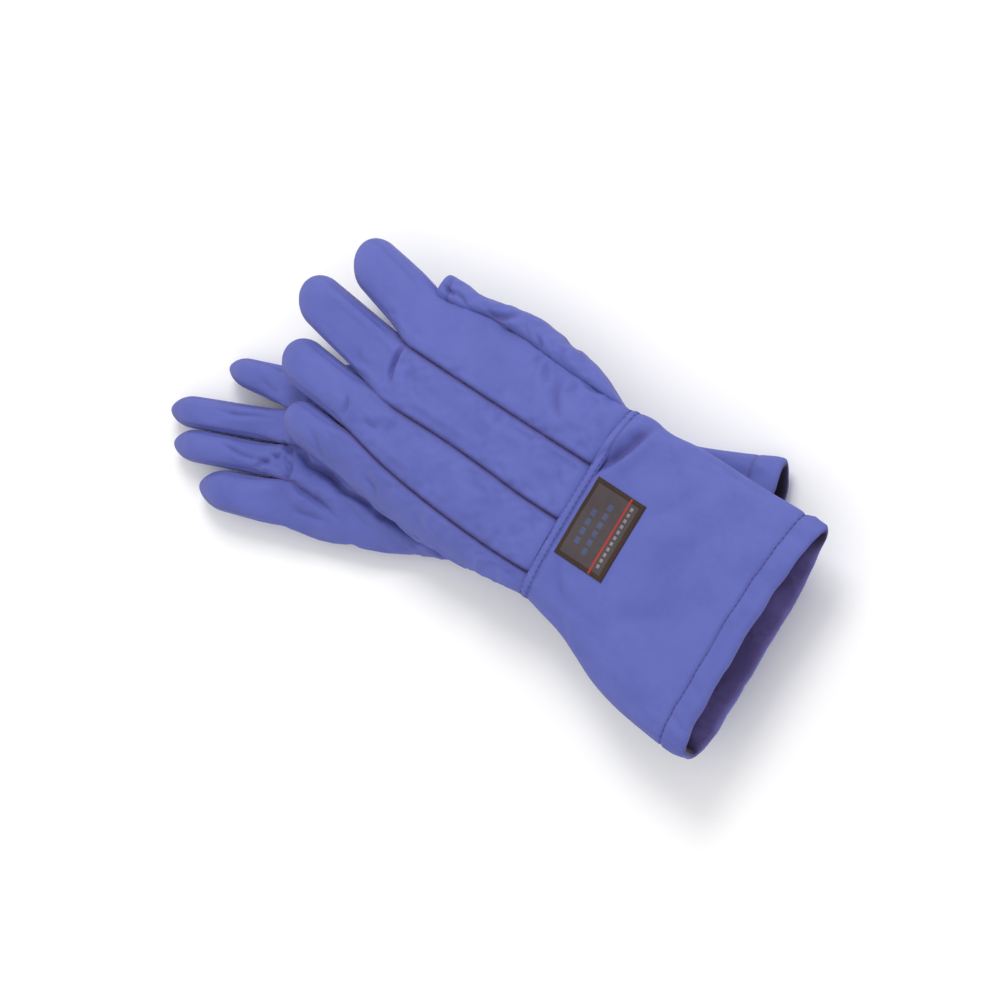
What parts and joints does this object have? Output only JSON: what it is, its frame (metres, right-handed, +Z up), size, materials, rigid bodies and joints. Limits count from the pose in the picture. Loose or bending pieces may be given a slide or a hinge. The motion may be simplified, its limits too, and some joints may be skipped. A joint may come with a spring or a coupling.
{
  "type": "pair of cryogenic gloves",
  "caption": "Pair of padded mid-arm gloves for handling very cold vessels, with a quilted back, flared cuffs and a soft lining, lying crossed one on the other.",
  "frame": {"origin": "centre of the pair's footprint on the table", "axes": "+X along the upper glove from fingertips to cuff mouth, +Y towards its thumb side, +Z up"},
  "size_m": [0.437, 0.2265, 0.0586],
  "materials": {
    "nylon_shell": "water-resistant woven nylon with a soft satin sheen",
    "insulation": "lofted fibre batting",
    "liner": "brushed knit lining",
    "thread": "matt polyester sewing thread",
    "label": "woven patch with a plain border"
  },
  "bodies": {
    "lower_hand": {"lower_back_shell": "nylon_shell", "lower_palm_shell": "nylon_shell", "lower_channel_thread": "thread", "lower_hand_insulation": "insulation", "lower_hand_liner": "liner", "lower_wrist_welt": "nylon_shell", "lower_cuff_back": "nylon_shell", "lower_cuff_palm": "nylon_shell", "lower_cuff_insulation": "insulation", "lower_cuff_lining": "liner", "lower_hem_facing": "nylon_shell", "lower_hem_thread": "thread"},
    "lower_index": {"lower_index_shell": "nylon_shell", "lower_index_insulation": "insulation", "lower_index_liner": "liner"},
    "lower_middle": {"lower_middle_shell": "nylon_shell", "lower_middle_insulation": "insulation", "lower_middle_liner": "liner"},
    "lower_ring": {"lower_ring_shell": "nylon_shell", "lower_ring_insulation": "insulation", "lower_ring_liner": "liner"},
    "lower_little": {"lower_little_shell": "nylon_shell", "lower_little_insulation": "insulation", "lower_little_liner": "liner"},
    "lower_thumb": {"lower_thumb_shell": "nylon_shell", "lower_thumb_insulation": "insulation", "lower_thumb_liner": "liner"},
    "upper_hand": {"upper_back_shell": "nylon_shell", "upper_palm_shell": "nylon_shell", "upper_channel_thread": "thread", "upper_hand_insulation": "insulation", "upper_hand_liner": "liner"},
    "upper_cuff": {"upper_wrist_welt": "nylon_shell", "upper_cuff_back": "nylon_shell", "upper_cuff_palm": "nylon_shell", "upper_cuff_insulation": "insulation", "upper_cuff_lining": "liner", "upper_hem_facing": "nylon_shell", "upper_hem_thread": "thread", "upper_label": "label", "upper_label_thread": "thread"},
    "upper_index": {"upper_index_shell": "nylon_shell", "upper_index_insulation": "insulation", "upper_index_liner": "liner"},
    "upper_middle": {"upper_middle_shell": "nylon_shell", "upper_middle_insulation": "insulation", "upper_middle_liner": "liner"},
    "upper_ring": {"upper_ring_shell": "nylon_shell", "upper_ring_insulation": "insulation", "upper_ring_liner": "liner"},
    "upper_little": {"upper_little_shell": "nylon_shell", "upper_little_insulation": "insulation", "upper_little_liner": "liner"},
    "upper_thumb": {"upper_thumb_shell": "nylon_shell", "upper_thumb_insulation": "insulation", "upper_thumb_liner": "liner"}
  },
  "joints": [
    {"name": "upper_lift", "type": "slide", "parent": "lower_hand", "child": "upper_hand", "axis": [0, 0, 1], "range_m": [0, 0.15]},
    {"name": "upper_index_bend", "type": "hinge", "parent": "upper_hand", "child": "upper_index", "pos_m": [-0.0768, 0.06278, 0.0568], "axis": [0, 1, 0], "range_deg": [0, 35]},
    {"name": "upper_middle_bend", "type": "hinge", "parent": "upper_hand", "child": "upper_middle", "pos_m": [-0.0768, 0.02478, 0.0568], "axis": [0, 1, 0], "range_deg": [0, 35]},
    {"name": "upper_ring_bend", "type": "hinge", "parent": "upper_hand", "child": "upper_ring", "pos_m": [-0.0768, -0.00702, 0.0568], "axis": [0, 1, 0], "range_deg": [0, 35]},
    {"name": "upper_little_bend", "type": "hinge", "parent": "upper_hand", "child": "upper_little", "pos_m": [-0.0768, -0.03522, 0.0568], "axis": [0, 1, 0], "range_deg": [0, 35]},
    {"name": "upper_thumb_spread", "type": "hinge", "parent": "upper_hand", "child": "upper_thumb", "pos_m": [0.051, 0.08408, 0.044], "axis": [0, 0, -1], "range_deg": [0, 30]},
    {"name": "upper_cuff_bend", "type": "hinge", "parent": "upper_hand", "child": "upper_cuff", "pos_m": [0.0685, 0.02078, 0.0576], "axis": [0, -1, 0], "range_deg": [0, 25]},
    {"name": "lower_index_bend", "type": "hinge", "parent": "lower_hand", "child": "lower_index", "pos_m": [-0.14654, -0.02232, 0.0282], "axis": [-0.3584, 0.9336, 0], "range_deg": [0, 50]},
    {"name": "lower_middle_bend", "type": "hinge", "parent": "lower_hand", "child": "lower_middle", "pos_m": [-0.13823, -0.04398, 0.0282], "axis": [-0.3584, 0.9336, 0], "range_deg": [0, 50]},
    {"name": "lower_ring_bend", "type": "hinge", "parent": "lower_hand", "child": "lower_ring", "pos_m": [-0.13085, -0.06321, 0.0282], "axis": [-0.3584, 0.9336, 0], "range_deg": [0, 50]},
    {"name": "lower_little_bend", "type": "hinge", "parent": "lower_hand", "child": "lower_little", "pos_m": [-0.12199, -0.08627, 0.0282], "axis": [-0.3584, 0.9336, 0], "range_deg": [0, 50]},
    {"name": "lower_thumb_spread", "type": "hinge", "parent": "lower_hand", "child": "lower_thumb", "pos_m": [-0.01347, 0.04344, 0.014], "axis": [0, 0, -1], "range_deg": [0, 30]}
  ]
}
